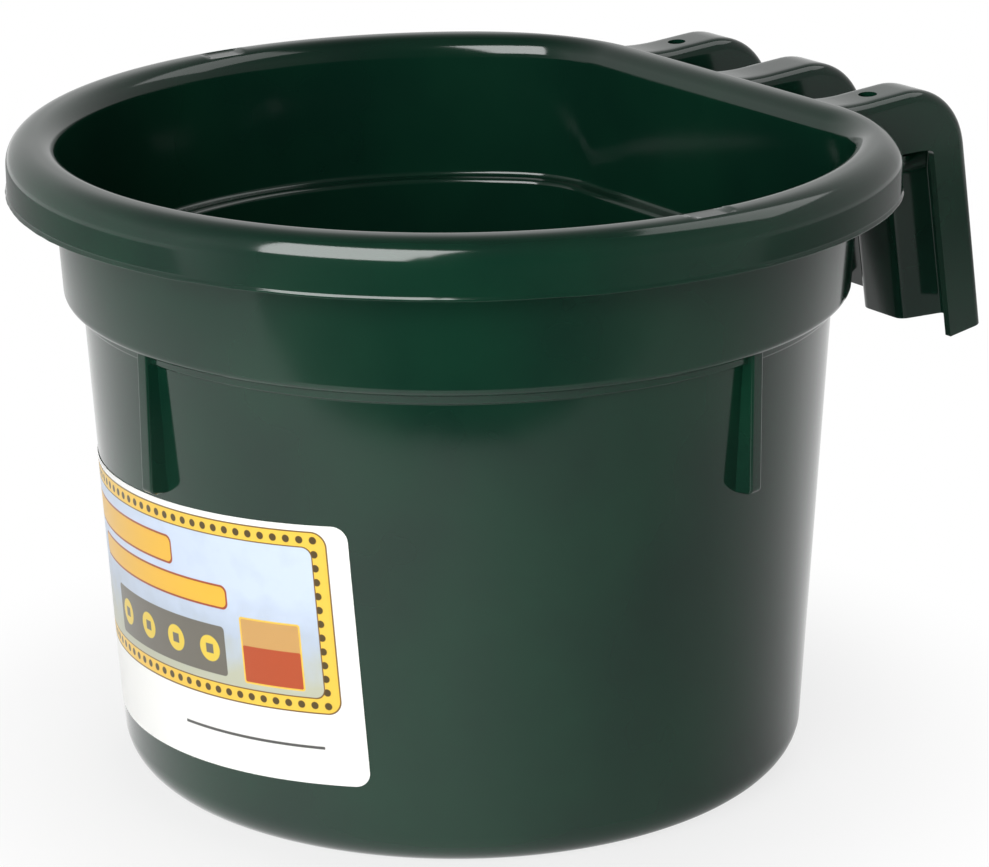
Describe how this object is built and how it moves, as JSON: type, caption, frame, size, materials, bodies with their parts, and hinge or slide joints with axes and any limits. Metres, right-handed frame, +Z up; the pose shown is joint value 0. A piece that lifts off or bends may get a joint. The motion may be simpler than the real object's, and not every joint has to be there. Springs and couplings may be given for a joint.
{
  "type": "hook over feed pail",
  "caption": "Deep round feed pail with a flat back, a rolled rim and moulded hooks that drop over a fence board, carrying a wrap label on the front.",
  "frame": {"origin": "on the flat base, at the axis of the round wall", "axes": "+Z up out of the mouth, +Y toward the flat back and the hooks, front at -Y, +X to the right seen from the front"},
  "size_m": [0.29, 0.3225, 0.2127],
  "materials": {
    "pail_plastic": "gloss",
    "label_paper": "satin printed film"
  },
  "bodies": {
    "root": {"pail": "pail_plastic", "label": "label_paper"}
  },
  "joints": []
}
